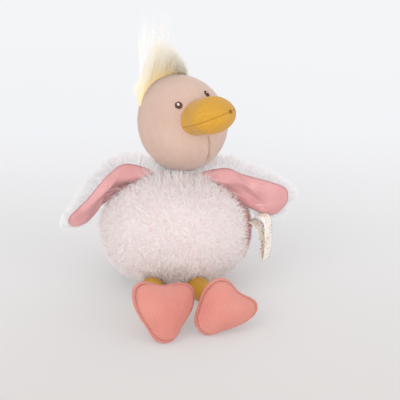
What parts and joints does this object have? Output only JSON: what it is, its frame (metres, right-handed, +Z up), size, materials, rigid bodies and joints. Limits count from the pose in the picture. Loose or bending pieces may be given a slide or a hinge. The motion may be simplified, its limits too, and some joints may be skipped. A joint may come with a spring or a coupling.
{
  "type": "stuffed plush bird",
  "caption": "Seated stuffed bird with a round curly body, turned head and bill, sewn wings, dangling legs and heart-shaped feet.",
  "frame": {"origin": "centre of the flat spot that the body sits on, at the floor", "axes": "+Z up, the body faces -Y, +X to the right as seen from the front"},
  "size_m": [0.2205, 0.2039, 0.2848],
  "materials": {
    "curly_plush": "curly boucle pile, matte",
    "dusty_plush": "short pile, matte",
    "head_velour": "short velour, matte",
    "mustard_velour": "short velour, matte",
    "coral_velour": "short velour, matte",
    "pink_lining": "smooth plush, matte",
    "white_fur": "long pile, soft",
    "long_hair": "long hair-like pile, soft sheen",
    "wadding": "loose polyester fibre",
    "pouch_cloth": "woven cloth with pellets",
    "brown_thread": "embroidery thread",
    "satin_ribbon": "satin ribbon, soft gloss"
  },
  "bodies": {
    "torso": {"body_front": "curly_plush", "body_back": "dusty_plush", "body_filling": "wadding", "pellet_pouch": "pouch_cloth"},
    "neck": {"neck_wad": "wadding"},
    "head": {"head_front": "head_velour", "head_back": "head_velour", "head_filling": "wadding", "beak_upper": "mustard_velour", "beak_lower": "mustard_velour", "beak_filling": "wadding", "eye_left": "brown_thread", "eye_right": "brown_thread", "hair_tuft": "long_hair"},
    "label": {"label_loop": "satin_ribbon"},
    "wing_left": {"wing_left_lining": "pink_lining", "wing_left_fur": "white_fur", "wing_left_wadding": "wadding"},
    "leg_left": {"leg_left_cover": "mustard_velour", "leg_left_filling": "wadding"},
    "foot_left": {"foot_left_sole": "coral_velour", "foot_left_top": "coral_velour", "foot_left_filling": "wadding"},
    "wing_right": {"wing_right_lining": "pink_lining", "wing_right_fur": "white_fur", "wing_right_wadding": "wadding"},
    "leg_right": {"leg_right_cover": "mustard_velour", "leg_right_filling": "wadding"},
    "foot_right": {"foot_right_sole": "coral_velour", "foot_right_top": "coral_velour", "foot_right_filling": "wadding"}
  },
  "joints": [
    {"name": "head_turn", "type": "hinge", "parent": "torso", "child": "neck", "pos_m": [0.0095, 0.013, 0.11478], "axis": [0, 0, 1], "range_deg": [-35, 30], "stiffness_Nm_per_rad": 0.35},
    {"name": "head_nod", "type": "hinge", "parent": "neck", "child": "head", "pos_m": [0.0095, 0.013, 0.11478], "axis": [1, 0, 0], "range_deg": [-15, 12], "stiffness_Nm_per_rad": 0.6},
    {"name": "wing_left_swing", "type": "hinge", "parent": "torso", "child": "wing_left", "pos_m": [-0.04723, 0.00517, 0.09714], "axis": [0.817, -0.0859, 0.5701], "range_deg": [-30, 5], "stiffness_Nm_per_rad": 0.03},
    {"name": "wing_right_swing", "type": "hinge", "parent": "torso", "child": "wing_right", "pos_m": [0.05123, -0.00517, 0.09714], "axis": [-0.817, 0.0859, 0.5701], "range_deg": [-30, 5], "stiffness_Nm_per_rad": 0.03},
    {"name": "leg_left_swing", "type": "hinge", "parent": "torso", "child": "leg_left", "pos_m": [-0.02024, -0.05344, 0.01495], "axis": [1, 0, 0], "range_deg": [-5, 75]},
    {"name": "foot_left_flex", "type": "hinge", "parent": "leg_left", "child": "foot_left", "pos_m": [-0.01436, -0.10164, 0.01557], "axis": [1, 0, 0], "range_deg": [-30, 30], "stiffness_Nm_per_rad": 0.08},
    {"name": "leg_right_swing", "type": "hinge", "parent": "torso", "child": "leg_right", "pos_m": [0.02424, -0.05344, 0.01495], "axis": [1, 0, 0], "range_deg": [-5, 75]},
    {"name": "foot_right_flex", "type": "hinge", "parent": "leg_right", "child": "foot_right", "pos_m": [0.04184, -0.08836, 0.01804], "axis": [1, 0, 0], "range_deg": [-30, 30], "stiffness_Nm_per_rad": 0.08},
    {"name": "label_swing", "type": "hinge", "parent": "torso", "child": "label", "pos_m": [0.07747, -0.00793, 0.06847], "axis": [0.6157, 0.788, 0], "range_deg": [-25, 8], "stiffness_Nm_per_rad": 0.002}
  ]
}
